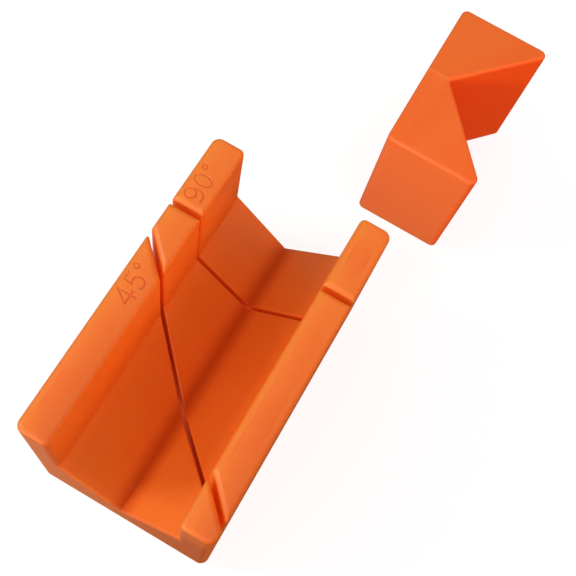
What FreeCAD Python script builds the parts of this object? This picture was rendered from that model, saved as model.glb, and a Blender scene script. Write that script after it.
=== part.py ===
import FreeCAD, Part
import Sketcher
import math
import os
from FreeCAD import Placement, Rotation, Vector

# Mitre box with its loose V-notched block, in millimetres, +Z up.
# Origin: centre of the mitre box's underside. +Y runs along the channel
# from the near end to the far end, +X to the right-hand wall.

doc = FreeCAD.newDocument("mitre_box_set")

# ----------------------------------------------------------------- sheet
sheet = doc.addObject("Spreadsheet::Sheet", "dims")
DIMS = [
    ("box_length", 150.0),      # along Y
    ("box_width", 88.0),        # along X, over both walls
    ("box_height", 95.0),       # underside to wall tops
    ("wall_top", 15.0),         # width of each wall's top
    ("knee_height", 49.5),      # where the upright wall meets the V bed
    ("valley_height", 23.85),   # bottom of the V bed
    ("slot_width", 1.8),        # saw kerf guide
    ("slot_floor", 21.9),       # bottom of both saw slots
    ("slot_square_y", 37.7),    # centre line of the 90 degree slot
    ("slot_mitre_y", 21.4),     # where the 45 degree slot leaves the left wall
    ("mouth_round", 2.9),       # lead-in round along both sides of each slot's mouth
    ("edge_round", 0.6),        # edges of the slots below the mouth
    ("corner_round", 4.0),      # four upright outer corners
    ("end_round", 2.6),         # upright inner edges at both end faces
    ("bed_round", 1.3),         # ends of the V bed
    ("rim_round", 2.3),         # round along the wall tops
    ("skin", 2.5),              # outer and inner wall skins
    ("roof", 3.0),              # skin under the wall tops and end faces
    ("bed_drop", 4.0),          # V bed skin, measured straight down
    ("liner", 2.0),             # wall each side of a saw slot
    ("keel", 2.4),              # rib under the valley line
    ("web", 1.8),               # other ribs
    ("lane_rib_x", 14.3),       # lengthwise ribs under the bed
    ("cross_rib_y", 36.0),      # crosswise ribs
    ("mark_depth", 0.42),       # cut angle marks
    ("mark_stroke", 1.15),
    ("block_length", 88.0),     # along Y
    ("block_depth", 51.0),      # along X, flat back to the tips
    ("block_height", 76.0),
    ("block_apex", 12.1),      # flat back to the bottom of the notch
    ("block_drop", 2.0),        # fall of the top from mid-length to each end
    ("block_corner", 3.2),      # upright outer corners
    ("block_notch_round", 1.6), # bottom of the notch
    ("block_rim", 1.8),         # round along the top edges
    ("block_skin", 2.5),
    ("block_roof", 3.8),
    ("block_web", 1.8),
    ("block_pitch", 14.2),      # spacing of the crosswise ribs
    ("block_left", 18.4),       # where the block stands
    ("block_front", 128.1),
]
D = {}
for row, (alias, value) in enumerate(DIMS, 1):
    sheet.set("A%d" % row, alias)
    sheet.set("B%d" % row, str(value))
    sheet.setAlias("B%d" % row, alias)
    D[alias] = value
doc.recompute()


# --------------------------------------------------------------- helpers
def bind(obj, **exprs):
    for prop, text in exprs.items():
        obj.setExpression(prop.replace("__", "."), text)


def plane_of(body, role):
    for feature in body.Origin.OriginFeatures:
        if feature.Role == role:
            return feature
    raise RuntimeError("no plane " + role)


def outline(body, name, role, points):
    """Closed polygon whose every corner is tied to the sheet.

    points: (u, u expression, v, v expression) in the plane's own axes.
    """
    sk = body.newObject("Sketcher::SketchObject", name)
    sk.AttachmentSupport = [(plane_of(body, role), "")]
    sk.MapMode = "FlatFace"
    n = len(points)
    for i in range(n):
        a, b = points[i], points[(i + 1) % n]
        sk.addGeometry(Part.LineSegment(Vector(a[0], a[2], 0), Vector(b[0], b[2], 0)), False)
    for i in range(n):
        sk.addConstraint(Sketcher.Constraint("Coincident", i, 2, (i + 1) % n, 1))
    for i, (u, ue, v, ve) in enumerate(points):
        if abs(u) < 1e-9:
            sk.addConstraint(Sketcher.Constraint("PointOnObject", i, 1, -2))
        else:
            c = sk.addConstraint(Sketcher.Constraint("DistanceX", -1, 1, i, 1, u))
            sk.setExpression("Constraints[%d]" % c, ue)
        if abs(v) < 1e-9:
            sk.addConstraint(Sketcher.Constraint("PointOnObject", i, 1, -1))
        else:
            c = sk.addConstraint(Sketcher.Constraint("DistanceY", -1, 1, i, 1, v))
            sk.setExpression("Constraints[%d]" % c, ve)
    doc.recompute()
    return sk


def pad(body, name, sketch, length, symmetric=False):
    f = body.newObject("PartDesign::Pad", name)
    f.Profile = sketch
    f.setExpression("Length", length)
    if symmetric:
        if hasattr(f, "SideType"):
            f.SideType = "Symmetric"
        else:
            f.Midplane = True
    doc.recompute()
    return f


def fillet(body, name, base, radius, pick):
    names = []
    for i, e in enumerate(base.Shape.Edges, 1):
        if pick(e):
            names.append("Edge%d" % i)
    if not names:
        raise RuntimeError("no edges for " + name)
    f = body.newObject("PartDesign::Fillet", name)
    f.Base = (base, names)
    f.setExpression("Radius", radius)
    body.Tip = f
    doc.recompute()
    return f


def box(name, length, width, height, at=None, place=None):
    b = doc.addObject("Part::Box", name)
    bind(b, Length=length, Width=width, Height=height)
    if place is not None:
        b.Placement = place
    if at is not None:
        bind(b, Placement__Base__x=at[0], Placement__Base__y=at[1], Placement__Base__z=at[2])
    return b


def fuse(name, shapes):
    f = doc.addObject("Part::MultiFuse", name)
    f.Shapes = shapes
    return f


def cut(name, base, tool):
    c = doc.addObject("Part::Cut", name)
    c.Base = base
    c.Tool = tool
    return c


def upright(e):
    return (len(e.Vertexes) == 2 and e.Curve.TypeId == "Part::GeomLine"
            and abs(e.Vertexes[0].X - e.Vertexes[1].X) < 1e-6
            and abs(e.Vertexes[0].Y - e.Vertexes[1].Y) < 1e-6)


def mid(e):
    return e.valueAt((e.FirstParameter + e.LastParameter) / 2.0)


def near(a, b, tol=0.05):
    return abs(a - b) < tol


# ------------------------------------------------ mitre box: outer form
L, W, H = D["box_length"], D["box_width"], D["box_height"]
T, ZK, ZV = D["wall_top"], D["knee_height"], D["valley_height"]
XW = W / 2 - T

shell = doc.addObject("PartDesign::Body", "box_form")
hw, iw = "dims.box_width / 2", "dims.box_width / 2 - dims.wall_top"
profile = outline(shell, "box_profile", "XZ_Plane", [
    (-W / 2, "-(%s)" % hw, 0, "0"),
    (W / 2, hw, 0, "0"),
    (W / 2, hw, H, "dims.box_height"),
    (XW, iw, H, "dims.box_height"),
    (XW, iw, ZK, "dims.knee_height"),
    (0, "0", ZV, "dims.valley_height"),
    (-XW, "-(%s)" % iw, ZK, "dims.knee_height"),
    (-XW, "-(%s)" % iw, H, "dims.box_height"),
    (-W / 2, "-(%s)" % hw, H, "dims.box_height"),
])
body_pad = pad(shell, "box_pad", profile, "dims.box_length", symmetric=True)


corners = fillet(shell, "corner_rounds", body_pad, "dims.corner_round",
                 lambda e: upright(e) and near(abs(mid(e).x), W / 2))
ends = fillet(shell, "end_rounds", corners, "dims.end_round",
              lambda e: upright(e) and near(abs(mid(e).y), L / 2) and near(abs(mid(e).x), XW))
bed_ends = fillet(shell, "bed_rounds", ends, "dims.bed_round",
                  lambda e: near(abs(mid(e).y), L / 2) and 1.0 < mid(e).z < ZK + 1
                  and abs(mid(e).x) < XW - 1)
rims = fillet(shell, "rim_rounds", bed_ends, "dims.rim_round",
              lambda e: near(mid(e).z, H) and near(e.Vertexes[0].Z, H))

# ------------------------------------------------- mitre box: saw slots
TURN = Rotation(Vector(0, 0, 1), -45)
S2 = "1.4142135624"
MOUTH = 0.02


def slot_tool(name, length, turn, y):
    """Slot with a trumpet mouth: narrow below, its sides rounding out to the wall tops."""
    body = doc.addObject("PartDesign::Body", name)
    h = D["slot_width"] / 2
    g = h + D["mouth_round"] + 1.5
    he, ge = "dims.slot_width / 2", "dims.slot_width / 2 + dims.mouth_round + 1.5"
    ze = "dims.box_height + %g" % MOUTH
    profile_ = outline(body, name + "_profile", "YZ_Plane", [
        (-h, "-(%s)" % he, D["slot_floor"], "dims.slot_floor"),
        (h, he, D["slot_floor"], "dims.slot_floor"),
        (h, he, H + MOUTH, ze),
        (g, ge, H + MOUTH, ze),
        (g, ge, H + 4, "dims.box_height + 4"),
        (-g, "-(%s)" % ge, H + 4, "dims.box_height + 4"),
        (-g, "-(%s)" % ge, H + MOUTH, ze),
        (-h, "-(%s)" % he, H + MOUTH, ze),
    ])
    long_ = pad(body, name + "_pad", profile_, length, symmetric=True)
    fillet(body, name + "_mouth", long_, "dims.mouth_round",
           lambda e: near(abs(mid(e).y), h, 0.001) and near(mid(e).z, H + MOUTH, 0.001))
    body.Placement = Placement(Vector(0, 0, 0), turn)
    bind(body, Placement__Base__y=y)
    doc.recompute()
    return body


slot_square = slot_tool("slot_square", "dims.box_width + 8", Rotation(), "dims.slot_square_y")
# The 45 degree slot runs from the left wall towards the near end.
slot_mitre = slot_tool("slot_mitre", "(dims.box_width + 8) * %s" % S2, TURN,
                       "dims.slot_mitre_y - dims.box_width / 2")
slotted = cut("slotted_form", shell, fuse("slot_tools", [slot_square, slot_mitre]))
doc.recompute()


def off_square(p):
    return abs(p.y - D["slot_square_y"])


def off_mitre(p):
    return abs(p.y - D["slot_mitre_y"] + p.x + W / 2) / math.sqrt(2)


def slot_edge(e):
    """Edges where a slot's sides leave the walls and the V bed."""
    if len(e.Vertexes) < 2:
        return False
    m = mid(e)
    h = D["slot_width"] / 2
    if m.z < D["slot_floor"] + 0.5 or not (near(off_square(m), h, 0.02) or near(off_mitre(m), h, 0.02)):
        return False
    a, b = e.Vertexes[0], e.Vertexes[-1]
    return (abs(a.X - b.X) < 1e-4 and abs(a.Y - b.Y) < 1e-4) or m.z < ZK + 1.5


edge_list = [i for i, e in enumerate(slotted.Shape.Edges, 1) if slot_edge(e)]
slot_rounds = doc.addObject("Part::Fillet", "slot_rounds")
slot_rounds.Base = slotted
slot_rounds.Edges = [(i, D["edge_round"], D["edge_round"]) for i in edge_list]
doc.recompute()
print("slot edges", len(edge_list), "valid", slot_rounds.Shape.isValid(),
      "volume change %.1f" % (slot_rounds.Shape.Volume - slotted.Shape.Volume))

# ------------------------------------------- mitre box: angle marks
# Strokes cut into the left wall's top with a ball-ended cutter, so each groove
# is round at the bottom. The marks read along +Y with their tops towards the
# outer face, so a mark's own right is +Y and its up is -X.
MD, MS = D["mark_depth"], D["mark_stroke"]
BALL = (MS * MS / 4 + MD * MD) / (2 * MD)
ZB = H - MD + BALL


def ball(x, y):
    return Part.makeSphere(BALL, Vector(x, y, ZB))


def stroke(a, b):
    a, b = Vector(a[0], a[1], ZB), Vector(b[0], b[1], ZB)
    d = b.sub(a)
    return [Part.makeCylinder(BALL, d.Length, a, d), ball(a.x, a.y), ball(b.x, b.y)]


def swept(path):
    """The cutter's round section carried along a closed loop."""
    start = path.valueAt(path.FirstParameter)
    along = path.tangentAt(path.FirstParameter)
    section = Part.Wire([Part.Circle(start, along, BALL).toShape()])
    return Part.Wire([path]).makePipeShell([section], True, True)


def ring(cx, cy, rx, ry):
    """Loop: rx along X and ry along Y, to the stroke's middle."""
    c = Vector(cx, cy, ZB)
    if abs(rx - ry) < 1e-6:
        return [Part.makeTorus(rx, BALL, c, Vector(0, 0, 1))]
    if rx > ry:
        curve = Part.Ellipse(c, rx, ry)
    else:
        curve = Part.Ellipse(Vector(cx, cy + ry, ZB), Vector(cx + rx, cy, ZB), c)
    return [swept(curve.toShape())]


def bow(a, m, b):
    """Curved stroke through three points."""
    edge = Part.Arc(Vector(a[0], a[1], ZB), Vector(m[0], m[1], ZB), Vector(b[0], b[1], ZB)).toShape()
    c, r = edge.Curve.Center, edge.Curve.Radius
    start = edge.valueAt(edge.FirstParameter)
    along = edge.tangentAt(edge.FirstParameter)
    turn = edge.Length / r
    way = start.sub(c).cross(along).z
    disc = Part.Face(Part.Wire([Part.Circle(start, along, BALL).toShape()]))
    return [disc.revolve(c, Vector(0, 0, 1 if way > 0 else -1), math.degrees(turn)),
            ball(a[0], a[1]), ball(b[0], b[1])]


pieces = []
NUDGE_45, NUDGE_90 = -0.9, -0.5


def shifted(shapes, dy):
    return [s.translated(Vector(0, dy, 0)) for s in shapes]


# 4
pieces.append(shifted(stroke((-41.2, -5.9), (-32.7, -5.9)) + stroke((-41.2, -5.9), (-35.2, -10.2))
                      + stroke((-35.2, -10.2), (-35.2, -4.1)), NUDGE_45))
# 5
pieces.append(shifted(stroke((-41.1, 2.3), (-41.1, -1.2)) + stroke((-41.1, -1.2), (-37.4, -1.6))
                      + bow((-37.4, -1.6), (-35.35, 2.75), (-33.3, -1.7)), NUDGE_45))
# degree ring
pieces.append(shifted(ring(-39.9, 6.2, 1.15, 1.15), NUDGE_45))
# 9
pieces.append(shifted(ring(-38.65, 45.5, 2.45, 2.45)
                      + bow((-38.1, 47.95), (-33.6, 47.35), (-33.0, 43.9)), NUDGE_90))
# 0
pieces.append(shifted(ring(-37.05, 53.3, 4.1, 2.45), NUDGE_90))
# degree ring
pieces.append(shifted(ring(-39.9, 59.3, 1.15, 1.15), NUDGE_90))
mark_solids = []
for group in pieces:
    solid = group[0]
    if len(group) > 1:
        solid = group[0].multiFuse(group[1:])
    if not solid.isValid() or solid.Volume < 0.5:
        raise RuntimeError("an angle mark's cutter is not a valid solid")
    mark_solids.append(solid)
marks = doc.addObject("Part::Feature", "angle_marks")
marks.Shape = Part.makeCompound(mark_solids)

# --------------------------------------------- mitre box: hollow underside
hollow = doc.addObject("PartDesign::Body", "hollow_form")
SK, RF, BD = D["skin"], D["roof"], D["bed_drop"]
XO, XI = W / 2 - SK, XW + SK
rise = (ZK - ZV) / XW
xo, xi = "dims.box_width / 2 - dims.skin", "dims.box_width / 2 - dims.wall_top + dims.skin"
zk = ("dims.valley_height - dims.bed_drop + (dims.box_width / 2 - dims.wall_top + dims.skin)"
      " * (dims.knee_height - dims.valley_height) / (dims.box_width / 2 - dims.wall_top)")
hollow_profile = outline(hollow, "hollow_profile", "XZ_Plane", [
    (-XO, "-(%s)" % xo, -5, "-5"),
    (XO, xo, -5, "-5"),
    (XO, xo, H - RF, "dims.box_height - dims.roof"),
    (XI, xi, H - RF, "dims.box_height - dims.roof"),
    (XI, xi, ZV - BD + XI * rise, zk),
    (0, "0", ZV - BD, "dims.valley_height - dims.bed_drop"),
    (-XI, "-(%s)" % xi, ZV - BD + XI * rise, zk),
    (-XI, "-(%s)" % xi, H - RF, "dims.box_height - dims.roof"),
    (-XO, "-(%s)" % xo, H - RF, "dims.box_height - dims.roof"),
])
pad(hollow, "hollow_pad", hollow_profile, "dims.box_length - 2 * dims.roof", symmetric=True)

tall = "dims.box_height + 20"
down = "-10"
ln = "dims.box_length + 10"
ly = "-dims.box_length / 2 - 5"
ribs = [box("keel_rib", "dims.keel", ln, tall, at=("-dims.keel / 2", ly, down))]
for side, sign in (("left", "-"), ("right", "")):
    # inner wall skin carried down to the floor
    edge = ("-dims.box_width / 2 + dims.wall_top - dims.skin" if side == "left"
            else "dims.box_width / 2 - dims.wall_top")
    ribs.append(box("skin_rib_" + side, "dims.skin", ln, tall, at=(edge, ly, down)))
    ribs.append(box("lane_rib_" + side, "dims.web", ln, tall,
                    at=(sign + "dims.lane_rib_x - dims.web / 2", ly, down)))
    # rib under the middle of the wall's top
    ribs.append(box("top_rib_" + side, "dims.web", ln, tall,
                    at=(sign + "(dims.box_width / 2 - dims.wall_top / 2) - dims.web / 2", ly, down)))
for k, sign in (("near", "-"), ("far", "")):
    ribs.append(box("cross_rib_" + k, "dims.box_width + 10", "dims.web", tall,
                    at=("-dims.box_width / 2 - 5", sign + "dims.cross_rib_y - dims.web / 2"
                        if k == "near" else "dims.slot_square_y + 19", down)))
ribs.append(box("cross_rib_mid", "dims.box_width + 10", "dims.web", tall,
                at=("-dims.box_width / 2 - 5", "-dims.web / 2", down)))
ribs.append(box("liner_square", "dims.box_width + 10", "dims.slot_width + 2 * dims.liner", tall,
                at=("-dims.box_width / 2 - 5",
                    "dims.slot_square_y - dims.slot_width / 2 - dims.liner",
                    "dims.slot_floor - dims.liner")))
ribs.append(box("liner_mitre", "(dims.box_width + 20) * %s" % S2,
                "dims.slot_width + 2 * dims.liner", tall,
                place=Placement(Vector(0, 0, 0), TURN),
                at=("-dims.box_width / 2 - 10 - (dims.slot_width / 2 + dims.liner) / %s" % S2,
                    "dims.slot_mitre_y + 10 - (dims.slot_width / 2 + dims.liner) / %s" % S2,
                    "dims.slot_floor - dims.liner")))
rib_set = fuse("rib_set", ribs)
cells = cut("cell_tools", hollow, rib_set)
tools = fuse("box_tools", [cells, marks])
mitre_box = cut("mitre_box_shape", slot_rounds, tools)
mitre_box.Label = "mitre_box"
doc.recompute()

# ------------------------------------------------------- V-notched block
BL, BW, BH = D["block_length"], D["block_depth"], D["block_height"]
BA, BS = D["block_apex"], D["block_skin"]
form = doc.addObject("PartDesign::Body", "block_form")
bd, bl = "dims.block_depth", "dims.block_length"
plan = outline(form, "block_plan", "XY_Plane", [
    (0, "0", 0, "0"),
    (BW, bd, 0, "0"),
    (BA, "dims.block_apex", BL / 2, "dims.block_length / 2"),
    (BW, bd, BL, bl),
    (0, "0", BL, bl),
])
block_pad = pad(form, "block_pad", plan, "dims.block_height")
# The top falls slightly from mid-length to both ends.
BD2 = D["block_drop"]
fall = outline(form, "block_fall", "YZ_Plane", [
    (-10, "-10", BH - BD2 * (1 + 10 / (BL / 2)),
     "dims.block_height - dims.block_drop * (1 + 10 / (dims.block_length / 2))"),
    (BL / 2, "dims.block_length / 2", BH, "dims.block_height"),
    (BL + 10, "dims.block_length + 10", BH - BD2 * (1 + 10 / (BL / 2)),
     "dims.block_height - dims.block_drop * (1 + 10 / (dims.block_length / 2))"),
    (BL + 10, "dims.block_length + 10", BH + 5, "dims.block_height + 5"),
    (-10, "-10", BH + 5, "dims.block_height + 5"),
])
trim = form.newObject("PartDesign::Pocket", "block_trim")
trim.Profile = fall
trim.setExpression("Length", "dims.block_depth * 4")
if hasattr(trim, "SideType"):
    trim.SideType = "Symmetric"
else:
    trim.Midplane = True
doc.recompute()
before, after = block_pad.Shape.Volume, trim.Shape.Volume
if not before - after > 100:
    raise RuntimeError("the block's top was not trimmed: %.1f %.1f" % (before, after))
block_corners = fillet(form, "block_corners", trim, "dims.block_corner",
                       lambda e: upright(e) and not near(mid(e).x, BA, 0.5))
block_notch = fillet(form, "block_notch", block_corners, "dims.block_notch_round",
                     lambda e: upright(e) and near(mid(e).x, BA, 0.5) and near(mid(e).y, BL / 2, 0.5))


def top_edge(e):
    zs = [v.Z for v in e.Vertexes] + [mid(e).z]
    if min(zs) < BH - BD2 - 0.2:
        return False
    # every top edge but the crease at mid-length
    return not all(near(v.Y, BL / 2, 0.01) for v in e.Vertexes) or abs(e.Vertexes[0].Y - e.Vertexes[-1].Y) > 0.01


block_rims = fillet(form, "block_rims", block_notch, "dims.block_rim", top_edge)

pocket = doc.addObject("PartDesign::Body", "block_hollow")
run = math.hypot(BL / 2, BW - BA)
slope = ("dims.block_skin * sqrt((dims.block_length / 2) ^ 2 + (dims.block_depth - dims.block_apex) ^ 2)"
         " / (dims.block_length / 2)")
tip_x = BW - BS * run / (BL / 2) - BS * (BW - BA) / (BL / 2)
tip_e = ("dims.block_depth - " + slope
         + " - dims.block_skin * (dims.block_depth - dims.block_apex) / (dims.block_length / 2)")
pocket_plan = outline(pocket, "block_hollow_plan", "XY_Plane", [
    (BS, "dims.block_skin", BS, "dims.block_skin"),
    (tip_x, tip_e, BS, "dims.block_skin"),
    (BA - BS * run / (BL / 2), "dims.block_apex - " + slope, BL / 2, "dims.block_length / 2"),
    (tip_x, tip_e, BL - BS, "dims.block_length - dims.block_skin"),
    (BS, "dims.block_skin", BL - BS, "dims.block_length - dims.block_skin"),
])
pad(pocket, "block_hollow_pad", pocket_plan, "dims.block_height - dims.block_roof")
block_ribs = []
for k in (-2, -1, 0, 1, 2):
    block_ribs.append(box("block_rib_%d" % (k + 3), "dims.block_depth + 4", "dims.block_web",
                          "dims.block_height + 20",
                          at=("-2", "dims.block_length / 2 + %d * dims.block_pitch - dims.block_web / 2" % k,
                              "-10")))
block_cells = cut("block_cells", pocket, fuse("block_rib_set", block_ribs))
v_block = cut("v_block_shape", form, block_cells)
v_block.Label = "v_block"
bind(v_block, Placement__Base__x="dims.block_left", Placement__Base__y="dims.block_front")
doc.recompute()

# ------------------------------------------------------- check and write
for obj in doc.Objects:
    if "Invalid" in obj.State or "Error" in obj.State:
        raise RuntimeError("%s is %s" % (obj.Name, obj.State))
if rims.Shape.Volume > body_pad.Shape.Volume:
    raise RuntimeError("rounds added material to the mitre box")

os.makedirs("parts", exist_ok=True)
for obj in (mitre_box, v_block):
    shape = obj.Shape
    if shape.isNull() or not shape.isValid():
        raise RuntimeError(obj.Label + " is not a valid shape")
    print("%-12s solids %d faces %d volume %.1f cm3 box %s" % (
        obj.Label, len(shape.Solids), len(shape.Faces), shape.Volume / 1000,
        [round(v, 2) for v in (shape.BoundBox.XMin, shape.BoundBox.YMin, shape.BoundBox.ZMin,
                               shape.BoundBox.XMax, shape.BoundBox.YMax, shape.BoundBox.ZMax)]))
    shape.exportStep("parts/%s.step" % obj.Label)
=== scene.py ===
import math

import bpy
from mathutils import Matrix, Vector

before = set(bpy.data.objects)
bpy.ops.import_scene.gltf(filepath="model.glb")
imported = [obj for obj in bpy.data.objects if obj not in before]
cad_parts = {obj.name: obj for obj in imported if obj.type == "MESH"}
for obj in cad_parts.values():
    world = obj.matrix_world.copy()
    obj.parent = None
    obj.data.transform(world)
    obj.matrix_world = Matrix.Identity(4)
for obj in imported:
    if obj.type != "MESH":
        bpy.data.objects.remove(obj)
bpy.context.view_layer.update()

scene = bpy.context.scene

# ------------------------------------------------------------------ camera
# Steep three-quarter view from above the near end, a little to the right.
IMAGE = 576.0
FOCAL = 942.457            # in widths of one picture element
RIGHT = Vector((0.8654840873531446, 0.48686045293426217, 0.11791604601214954))
DOWN = Vector((0.49527558800518506, -0.7963712881473726, -0.34712370034414636))
AHEAD = Vector((-0.07509584851782782, 0.35883097801491376, -0.9303767746199643))
PLACE = Vector((0.04665726994852802, -0.10992593552407127, 0.4559844198740026))
lens = bpy.data.cameras.new("camera")
lens.sensor_fit = "HORIZONTAL"
lens.sensor_width = 36.0
lens.lens = FOCAL / IMAGE * 36.0
lens.clip_start = 0.01
lens.clip_end = 50.0
camera = bpy.data.objects.new("camera", lens)
turn = Matrix((RIGHT, -DOWN, -AHEAD)).transposed()
camera.matrix_world = Matrix.Translation(PLACE) @ turn.to_4x4()
scene.collection.objects.link(camera)
scene.camera = camera


# ------------------------------------------------------------ node helpers
class Graph:
    """Small wrapper that builds a node tree left to right."""

    def __init__(self, material):
        material.use_nodes = True
        self.tree = material.node_tree
        self.tree.nodes.clear()
        self.count = 0

    def node(self, kind, **settings):
        n = self.tree.nodes.new(kind)
        n.location = (self.count % 12 * 190, -(self.count // 12) * 230)
        self.count += 1
        for key, value in settings.items():
            setattr(n, key, value)
        return n

    def link(self, a, b):
        self.tree.links.new(a, b)

    def put(self, socket, value):
        if isinstance(value, bpy.types.NodeSocket):
            self.link(value, socket)
        else:
            socket.default_value = value

    def math(self, op, a, b=None, c=None, clamp=False):
        n = self.node("ShaderNodeMath", operation=op, use_clamp=clamp)
        self.put(n.inputs[0], a)
        if b is not None:
            self.put(n.inputs[1], b)
        if c is not None:
            self.put(n.inputs[2], c)
        return n.outputs[0]

    def smooth(self, value, low, high, out_low=0.0, out_high=1.0):
        n = self.node("ShaderNodeMapRange", interpolation_type="SMOOTHSTEP")
        self.put(n.inputs["Value"], value)
        for name, v in (("From Min", low), ("From Max", high), ("To Min", out_low), ("To Max", out_high)):
            self.put(n.inputs[name], v)
        return n.outputs["Result"]

    def scaled(self, vector, x, y, z):
        n = self.node("ShaderNodeMapping")
        self.link(vector, n.inputs["Vector"])
        n.inputs["Scale"].default_value = (x, y, z)
        return n.outputs["Vector"]

    def noise(self, vector, scale, detail=2.0, rough=0.5, distortion=0.0):
        n = self.node("ShaderNodeTexNoise", noise_dimensions="3D")
        self.link(vector, n.inputs["Vector"])
        n.inputs["Scale"].default_value = scale
        n.inputs["Detail"].default_value = detail
        n.inputs["Roughness"].default_value = rough
        n.inputs["Distortion"].default_value = distortion
        return n.outputs["Fac"]

    def mix(self, fac, a, b):
        n = self.node("ShaderNodeMix", data_type="RGBA")
        self.put(n.inputs[0], fac)
        for s, v in ((n.inputs[6], a), (n.inputs[7], b)):
            if isinstance(v, tuple):
                s.default_value = (*v, 1.0)
            else:
                self.link(v, s)
        return n.outputs[2]

    def bump(self, height, distance, strength=1.0, normal=None):
        n = self.node("ShaderNodeBump")
        self.link(height, n.inputs["Height"])
        n.inputs["Distance"].default_value = distance
        n.inputs["Strength"].default_value = strength
        if normal is not None:
            self.link(normal, n.inputs["Normal"])
        return n.outputs["Normal"]


def loop_mark(g, u, v, cu, cv, hu, hv, line):
    """1 on the outline of a rectangle centred at cu, cv in the u, v plane, 0 elsewhere."""
    du = g.math("SUBTRACT", g.math("ABSOLUTE", g.math("SUBTRACT", u, cu)), hu)
    dv = g.math("SUBTRACT", g.math("ABSOLUTE", g.math("SUBTRACT", v, cv)), hv)
    edge = g.math("ABSOLUTE", g.math("MAXIMUM", du, dv))
    return g.smooth(edge, 0.0, line, 1.0, 0.0)


def near_plane(g, value, centre, reach):
    """1 at value = centre, falling to 0 at reach on either side."""
    away = g.math("ABSOLUTE", g.math("SUBTRACT", value, centre))
    return g.smooth(away, reach * 0.55, reach, 1.0, 0.0)


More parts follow.
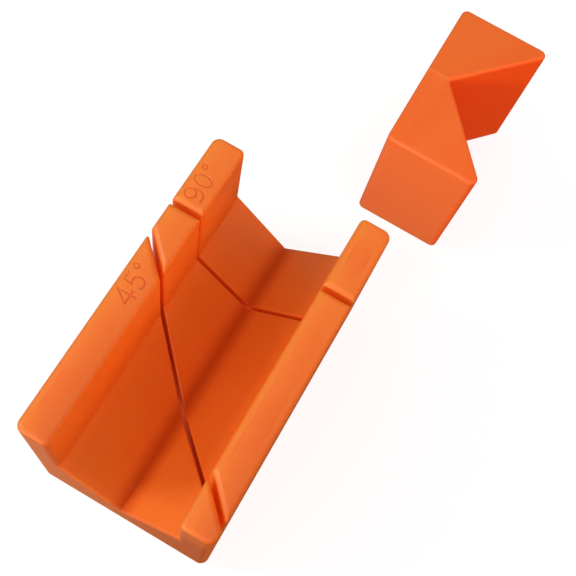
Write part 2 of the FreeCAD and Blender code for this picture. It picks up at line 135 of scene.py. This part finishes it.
def moulded_orange(name, deep, main, pale, shade, top_marks, slots, crease, gloss, sheen):
    m = bpy.data.materials.new(name)
    g = Graph(m)
    coords = g.node("ShaderNodeTexCoord").outputs["Object"]
    split = g.node("ShaderNodeSeparateXYZ")
    g.link(coords, split.inputs[0])
    x, y, z = split.outputs
    cloud = g.noise(coords, 16.0, 3.0, 0.5, 0.5)               # slow drift of the pigment
    fine = g.noise(coords, 140.0, 3.0, 0.6)                    # faint mottling
    flow = g.noise(g.scaled(coords, 60.0, 9.0, 60.0), 1.0, 2.0, 0.5, 0.6)   # resin flow along the mould
    grain = g.noise(coords, 3200.0, 2.0, 0.6)                  # satin grain of the mould
    orange = g.mix(g.smooth(cloud, 0.34, 0.68), main, pale)
    orange = g.mix(g.math("MULTIPLY", g.smooth(flow, 0.50, 0.80), 0.16), orange, deep)
    orange = g.mix(g.math("MULTIPLY", g.smooth(fine, 0.52, 0.80), 0.10), orange, deep)

    if shade is not None:
        # painted shade: the valley of the bed is darkened in colour, standing in for the shade where little light
        # reaches
        off = g.math("ABSOLUTE", x)
        valley_painted_shade = g.smooth(off, 0.0, 0.0075, 1.0, 0.0)
        above = g.math("SUBTRACT", z, g.math("ADD", g.math("MULTIPLY", off, 0.8845), 0.02385))
        valley_painted_shade = g.math("MULTIPLY", valley_painted_shade, g.smooth(g.math("ABSOLUTE", above), 0.0004, 0.0010, 1.0, 0.0))
        orange = g.mix(g.math("MULTIPLY", valley_painted_shade, 0.85), orange, shade)

    if crease is not None:
        # painted highlight: a pale thin line along the crease where the two planes of the top meet
        line = g.smooth(g.math("ABSOLUTE", g.math("SUBTRACT", y, crease)), 0.0002, 0.0007, 1.0, 0.0)
        line = g.math("MULTIPLY", line, g.smooth(z, 0.070, 0.071))
        orange = g.mix(g.math("MULTIPLY", line, 0.55), orange, (0.93, 0.27, 0.055))
        # painted shade and sheen: the notch's faces are darkened in colour as if in shade, and the end faces are paler
        # as if catching a sheen
        along = g.math("ABSOLUTE", g.math("SUBTRACT", y, crease))
        notch_painted_shade = g.math("SUBTRACT", x, g.math("ADD", g.math("MULTIPLY", along, 0.884), 0.0305))
        notch_painted_shade = g.smooth(g.math("ABSOLUTE", notch_painted_shade), 0.0004, 0.0014, 1.0, 0.0)
        notch_painted_shade = g.math("MULTIPLY", notch_painted_shade, g.smooth(z, 0.0725, 0.0745, 1.0, 0.0))
        orange = g.mix(g.math("MULTIPLY", notch_painted_shade, 0.90), orange, (0.90, 0.104, 0.002))
        ends_painted_sheen = g.math("MULTIPLY", g.smooth(along, 0.0434, 0.0439), g.smooth(z, 0.0725, 0.0745, 1.0, 0.0))
        orange = g.mix(g.math("MULTIPLY", ends_painted_sheen, 0.85), orange, (0.865, 0.178, 0.034))

    # fine scuffs, longer than wide, in two directions, and a few dark specks
    scuff_a = g.smooth(g.noise(g.scaled(coords, 900.0, 50.0, 900.0), 1.0, 2.0, 0.5, 0.6), 0.67, 0.75)
    scuff_b = g.smooth(g.noise(g.scaled(coords, 80.0, 1100.0, 700.0), 1.0, 2.0, 0.5, 0.5), 0.70, 0.77)
    scuffs = g.math("MAXIMUM", scuff_a, scuff_b)
    specks = g.node("ShaderNodeTexVoronoi", feature="F1", distance="EUCLIDEAN")
    g.link(coords, specks.inputs["Vector"])
    specks.inputs["Scale"].default_value = 150.0
    speck = g.smooth(specks.outputs["Distance"], 0.018, 0.045, 1.0, 0.0)
    orange = g.mix(g.math("MULTIPLY", speck, 0.30), orange, deep)

    rough = g.math("ADD", g.math("MULTIPLY", g.smooth(cloud, 0.3, 0.7), 0.05), gloss)
    rough = g.math("ADD", rough, g.math("MULTIPLY", scuffs, 0.10))
    rough = g.math("ADD", rough, g.math("MULTIPLY", g.math("SUBTRACT", grain, 0.5), 0.08), clamp=True)

    # relief: slow waviness of the moulding, sink lines over the ribs, grain and scuffs
    wave = g.noise(coords, 38.0, 1.0, 0.4)
    normal = g.bump(wave, 0.00030, 0.45)
    painted_glow = None
    if top_marks:
        on_top = g.smooth(z, 0.0942, 0.0948)
        # each wall's top is slightly crowned in relief; its colour is painted lighter to the left and to the back and
        # painted darker to the right, most at the near end, as if lit from the left
        across = g.math("SUBTRACT", x, g.math("MULTIPLY", g.math("SIGN", x), 0.0365))
        crown = g.math("MULTIPLY", g.math("SUBTRACT", 1.0, g.math(
            "MULTIPLY", g.math("MULTIPLY", across, across), 1.0 / 0.0075 ** 2)), g.smooth(z, 0.0925, 0.0935))
        normal = g.bump(crown, 0.00026, 1.0, normal)
        tops = g.smooth(z, 0.0930, 0.0944)
        light = g.math("ADD", g.smooth(across, -0.0078, 0.0010, 0.80, 0.0), g.smooth(y, -0.040, 0.060, 0.0, 0.35), clamp=True)
        orange = g.mix(g.math("MULTIPLY", light, tops), orange, (0.90, 0.240, 0.024))
        top_painted_shade = g.math("MULTIPLY", g.smooth(across, -0.0050, 0.0070, 0.0, 0.70), g.smooth(y, -0.070, 0.040, 1.0, 0.25))
        orange = g.mix(g.math("MULTIPLY", top_painted_shade, tops), orange, (0.70, 0.128, 0.009))
        # painted shade: the near end face is darkened in colour towards the right
        end_face_painted_shade = g.math("MULTIPLY", g.smooth(y, -0.0746, -0.0738, 1.0, 0.0), g.smooth(x, -0.024, 0.036, 0.0, 0.80))
        end_face_painted_shade = g.math("MULTIPLY", end_face_painted_shade, g.smooth(z, 0.060, 0.092, 1.0, 0.0))
        orange = g.mix(end_face_painted_shade, orange, (0.66, 0.122, 0.012))
        drift = g.math("MULTIPLY", g.math("SUBTRACT", g.noise(coords, 70.0, 1.0, 0.5), 0.5), 0.0011)
        warp_x, warp_y = g.math("ADD", x, drift), g.math("ADD", y, drift)
        sink_relief_and_shade = None
        for side, near, far in top_marks:
            for inset, weight in ((0.0, 1.0), (0.0019, 0.7)):
                mark = loop_mark(g, warp_x, warp_y, side, (near + far) / 2,
                                 0.0036 - inset, (far - near) / 2 - inset, 0.0009)
                mark = g.math("MULTIPLY", mark, weight)
                fade = g.math("SUBTRACT", (far - near) / 2, g.math("ABSOLUTE",
                              g.math("SUBTRACT", warp_y, (near + far) / 2)))
                mark = g.math("MULTIPLY", mark, g.smooth(fade, 0.001, 0.011))
                if inset == 0.0:
                    band = near_plane(g, warp_x, side, 0.0046)
                    band = g.math("MULTIPLY", band, g.smooth(fade, -0.002, 0.008))
                    mark = g.math("MAXIMUM", mark, g.math("MULTIPLY", band, 0.45))
                sink_relief_and_shade = mark if sink_relief_and_shade is None else g.math("MAXIMUM", sink_relief_and_shade, mark)
        patchy = g.smooth(g.noise(coords, 48.0, 2.0, 0.5), 0.36, 0.60, 0.30, 1.0)
        sink_relief_and_shade = g.math("MULTIPLY", g.math("MULTIPLY", sink_relief_and_shade, patchy), on_top)
        normal = g.bump(g.math("SUBTRACT", 1.0, sink_relief_and_shade), 0.00014, 1.0, normal)
        # the sink lines are relief in the bump above, and are also darkened in colour here as painted shade in their
        # shallow dips
        orange = g.mix(g.math("MULTIPLY", sink_relief_and_shade, 0.55), orange, deep)
    if slots:
        # painted glow: emission on the sides of the saw slots stands in for light passing through the plastic and
        # reddening them
        diagonal = g.math("MULTIPLY", g.math("ADD", x, y), 0.70710678)
        inside = g.math("MAXIMUM", near_plane(g, y, 0.0377, 0.00115),
                        near_plane(g, diagonal, -0.0226 * 0.70710678, 0.00115))
        # painted shade: the engraved strokes of the angle marks are darkened in colour, standing in for shade in the
        # grooves
        stroke_painted_shade = g.math("MULTIPLY", g.smooth(z, 0.09464, 0.09498, 1.0, 0.0), g.smooth(z, 0.0940, 0.0943))
        stroke_painted_shade = g.math("MULTIPLY", stroke_painted_shade, near_plane(g, x, -0.0365, 0.0056))
        stroke_painted_shade = g.math("MULTIPLY", stroke_painted_shade, g.math("SUBTRACT", 1.0, near_plane(g, y, 0.0377, 0.0052)))
        stroke_painted_shade = g.math("MULTIPLY", stroke_painted_shade, g.math("SUBTRACT", 1.0, near_plane(
            g, diagonal, -0.0226 * 0.70710678, 0.0052)))
        stroke_painted_shade = g.math("MULTIPLY", stroke_painted_shade, g.smooth(g.math("ABSOLUTE", y), 0.0700, 0.0715, 1.0, 0.0))
        orange = g.mix(g.math("MULTIPLY", stroke_painted_shade, 0.40), orange, shade)
        level = g.smooth(z, 0.020, 0.075, 0.40, 1.0)
        below = g.smooth(z, 0.0880, 0.0940, 1.0, 0.0)
        level = g.math("MULTIPLY", level, g.smooth(z, 0.0214, 0.0224))
        painted_glow = g.math("MULTIPLY", g.math("MULTIPLY", inside, below), level)
    normal = g.bump(grain, 0.000016, 0.5, normal)
    normal = g.bump(g.math("SUBTRACT", 1.0, scuffs), 0.000016, 0.4, normal)

    shader = g.node("ShaderNodeBsdfPrincipled")
    g.link(orange, shader.inputs["Base Color"])
    g.link(rough, shader.inputs["Roughness"])
    g.link(normal, shader.inputs["Normal"])
    shader.inputs["IOR"].default_value = 1.48
    shader.inputs["Specular IOR Level"].default_value = sheen
    shader.inputs["Subsurface Weight"].default_value = SSS
    shader.inputs["Subsurface Radius"].default_value = (1.0, 0.22, 0.06)
    shader.inputs["Subsurface Scale"].default_value = 0.0022
    if painted_glow is not None:
        g.link(g.mix(painted_glow, (0.0, 0.0, 0.0), (0.95, 0.110, 0.004)), shader.inputs["Emission Color"])
        shader.inputs["Emission Strength"].default_value = GLOW
    out = g.node("ShaderNodeOutputMaterial")
    g.link(shader.outputs[0], out.inputs["Surface"])
    return m


def dress(node, material):
    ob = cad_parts[node]
    ob.data.materials.clear()
    ob.data.materials.append(material)


WORLD = 0.585
TENT = (0.05, -0.38, 0.06)
BELOW = 0.05
APRON = 0.24
KEY = 3.95
KEYPOS = (-0.90, -0.36, 0.80)
KEYSIZE = (0.22, 0.26)
SIDE = 6.3
SIDEPOS = (1.10, 0.05, 0.75)
SIDETINT = (1.0, 0.55, 0.38)
FRONT = 3.9
LOW = 2.4
LOWPOS = (-0.36, -0.80, 0.28)
LOWTINT = (1.0, 0.80, 0.78)
FRONTPOS = (-0.25, -0.75, 0.45)
BOUNCE = 1.9
BOUNCEPOS = (0.60, 0.00, 0.22)
BOUNCETINT = (1.0, 0.28, 0.10)
SPEC = 0.52
SSS = 0.35
REAR = 2.8
GLOW = 0.21
MAIN = (0.880, 0.185, 0.014)
PALE = (0.900, 0.204, 0.020)
DEEP = (0.84, 0.115, 0.006)
SHADE = (0.66, 0.088, 0.004)
wall = 0.0365
box_orange = moulded_orange("box_orange", DEEP, MAIN, PALE, SHADE,
                            [(wall, 0.0455, 0.0690), (wall, -0.0500, 0.0320),
                             (-wall, -0.0690, -0.0150)], True, None, 0.37, SPEC)
block_orange = moulded_orange("block_orange", (0.78, 0.085, 0.004), (0.852, 0.142, 0.012),
                              (0.872, 0.164, 0.017), None, [], False, 0.1721, 0.36, 0.45)
dress("mitre_box", box_orange)
dress("v_block", block_orange)

# -------------------------------------------------------------- floor, light
floor_mesh = bpy.data.meshes.new("floor")
S = 6.0
floor_mesh.from_pydata([(-S, -S, 0), (S, -S, 0), (S, S, 0), (-S, S, 0)], [], [(0, 1, 2, 3)])
floor = bpy.data.objects.new("floor", floor_mesh)
floor.location.z = -0.0002
scene.collection.objects.link(floor)
floor_paint = bpy.data.materials.new("floor_paint")
g = Graph(floor_paint)
fc = g.node("ShaderNodeTexCoord").outputs["Object"]
tone = g.mix(g.noise(fc, 9.0, 3.0), (0.26, 0.26, 0.258), (0.268, 0.268, 0.266))
sh = g.node("ShaderNodeBsdfPrincipled")
g.link(tone, sh.inputs["Base Color"])
sh.inputs["Roughness"].default_value = 0.85
sh.inputs["Emission Color"].default_value = (1.0, 1.0, 1.0, 1.0)
sh.inputs["Emission Strength"].default_value = 0.83
out = g.node("ShaderNodeOutputMaterial")
g.link(sh.outputs[0], out.inputs["Surface"])
floor_mesh.materials.append(floor_paint)
floor.visible_diffuse = False
floor.visible_glossy = False

# Pale backdrop all round, seen by the camera alone: it neither lights the object nor shades it.
SEGMENTS = 96
ring = [(5.6 * math.cos(2 * math.pi * i / SEGMENTS), 5.6 * math.sin(2 * math.pi * i / SEGMENTS))
        for i in range(SEGMENTS)]
back_points = [(px, py, -0.02) for px, py in ring] + [(px, py, 5.0) for px, py in ring]
back_faces = [(i, (i + 1) % SEGMENTS, SEGMENTS + (i + 1) % SEGMENTS, SEGMENTS + i) for i in range(SEGMENTS)]
back_mesh = bpy.data.meshes.new("backdrop")
back_mesh.from_pydata(back_points, [], back_faces + [tuple(range(SEGMENTS, 2 * SEGMENTS))])
backdrop = bpy.data.objects.new("backdrop", back_mesh)
scene.collection.objects.link(backdrop)
back_paint = bpy.data.materials.new("backdrop_paint")
g = Graph(back_paint)
sh = g.node("ShaderNodeEmission")
sh.inputs["Color"].default_value = (0.93, 0.93, 0.93, 1.0)
sh.inputs["Strength"].default_value = 1.0
out = g.node("ShaderNodeOutputMaterial")
g.link(sh.outputs[0], out.inputs["Surface"])
back_mesh.materials.append(back_paint)
for ray in ("diffuse", "glossy", "transmission", "volume_scatter", "shadow"):
    setattr(backdrop, "visible_" + ray, False)

world = bpy.data.worlds.new("studio")
scene.world = world
world.use_nodes = True
bg = world.node_tree.nodes.get("Background") or world.node_tree.nodes.new("ShaderNodeBackground")
bg.inputs["Color"].default_value = (1.0, 1.0, 1.0, 1.0)
# A pale tent: bright above, a little dimmer behind, and dim below the horizon.
wt = world.node_tree


def world_math(op, p, q):
    n = wt.nodes.new("ShaderNodeMath")
    n.operation = op
    for s, v in zip(n.inputs, (p, q)):
        if isinstance(v, bpy.types.NodeSocket):
            wt.links.new(v, s)
        else:
            s.default_value = v
    return n.outputs[0]


def world_blend(value, low, high):
    n = wt.nodes.new("ShaderNodeMapRange")
    n.interpolation_type = "SMOOTHSTEP"
    wt.links.new(value, n.inputs["Value"])
    n.inputs["From Min"].default_value = low
    n.inputs["From Max"].default_value = high
    return n.outputs["Result"]


wc = wt.nodes.new("ShaderNodeTexCoord")
ws = wt.nodes.new("ShaderNodeSeparateXYZ")
wt.links.new(wc.outputs["Generated"], ws.inputs[0])
wx, wy, wz = ws.outputs
lit = world_math("ADD", world_math("MULTIPLY", wx, TENT[0]), world_math("MULTIPLY", wy, TENT[1]))
lit = world_math("ADD", lit, world_math("MULTIPLY", wz, TENT[2]))
lit = world_math("ADD", lit, WORLD - BELOW)
lit = world_math("MULTIPLY", lit, world_blend(wz, -0.10, 0.30))
# Below the horizon the tent is brighter in front and to the left.
ahead = world_math("ADD", world_math("MULTIPLY", wx, -1.0), world_math("MULTIPLY", wy, -0.6))
apron = world_math("MULTIPLY", world_blend(ahead, 0.15, 0.40), APRON)
apron = world_math("MULTIPLY", apron, world_blend(world_math("MULTIPLY", wz, -1.0), -0.05, 0.20))
lit = world_math("ADD", lit, apron)
wt.links.new(world_math("ADD", lit, BELOW), bg.inputs["Strength"])


def area(name, place, aim, size, power, colour=(1, 1, 1)):
    data = bpy.data.lights.new(name, "AREA")
    data.shape = "RECTANGLE"
    data.size, data.size_y = size
    data.energy = power
    data.color = colour
    ob = bpy.data.objects.new(name, data)
    ob.location = place
    ob.rotation_euler = (Vector(aim) - Vector(place)).to_track_quat("-Z", "Y").to_euler()
    scene.collection.objects.link(ob)
    return ob


area("key", KEYPOS, (0.0, 0.03, 0.05), KEYSIZE, KEY)
side = area("side", SIDEPOS, (0.0, 0.02, 0.07), (0.6, 0.6), SIDE, SIDETINT)
front = area("front", FRONTPOS, (0.045, 0.13, 0.04), (0.25, 0.18), FRONT)
low = area("low", LOWPOS, (0.0, -0.03, 0.04), (0.45, 0.2), LOW, LOWTINT)
bounce = area("bounce", BOUNCEPOS, (0.05, 0.17, 0.04), (0.4, 0.3), BOUNCE, BOUNCETINT)
rear = area("rear", (0.20, 1.05, 0.14), (0.0, 0.10, 0.05), (0.7, 0.2), REAR)
rear.visible_glossy = False
# The side and low lights fill the box alone. The front and bounce lights are for the block alone.
for lamp, node in ((side, "mitre_box"), (low, "mitre_box"), (front, "v_block"), (bounce, "v_block")):
    lamp.visible_glossy = lamp in (front, low)
    only = bpy.data.collections.new(lamp.name + "_lights")
    only.objects.link(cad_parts[node])
    lamp.light_linking.receiver_collection = only
    if node == "v_block":
        lamp.light_linking.blocker_collection = only

scene.view_settings.view_transform = "Standard"
scene.view_settings.look = "None"
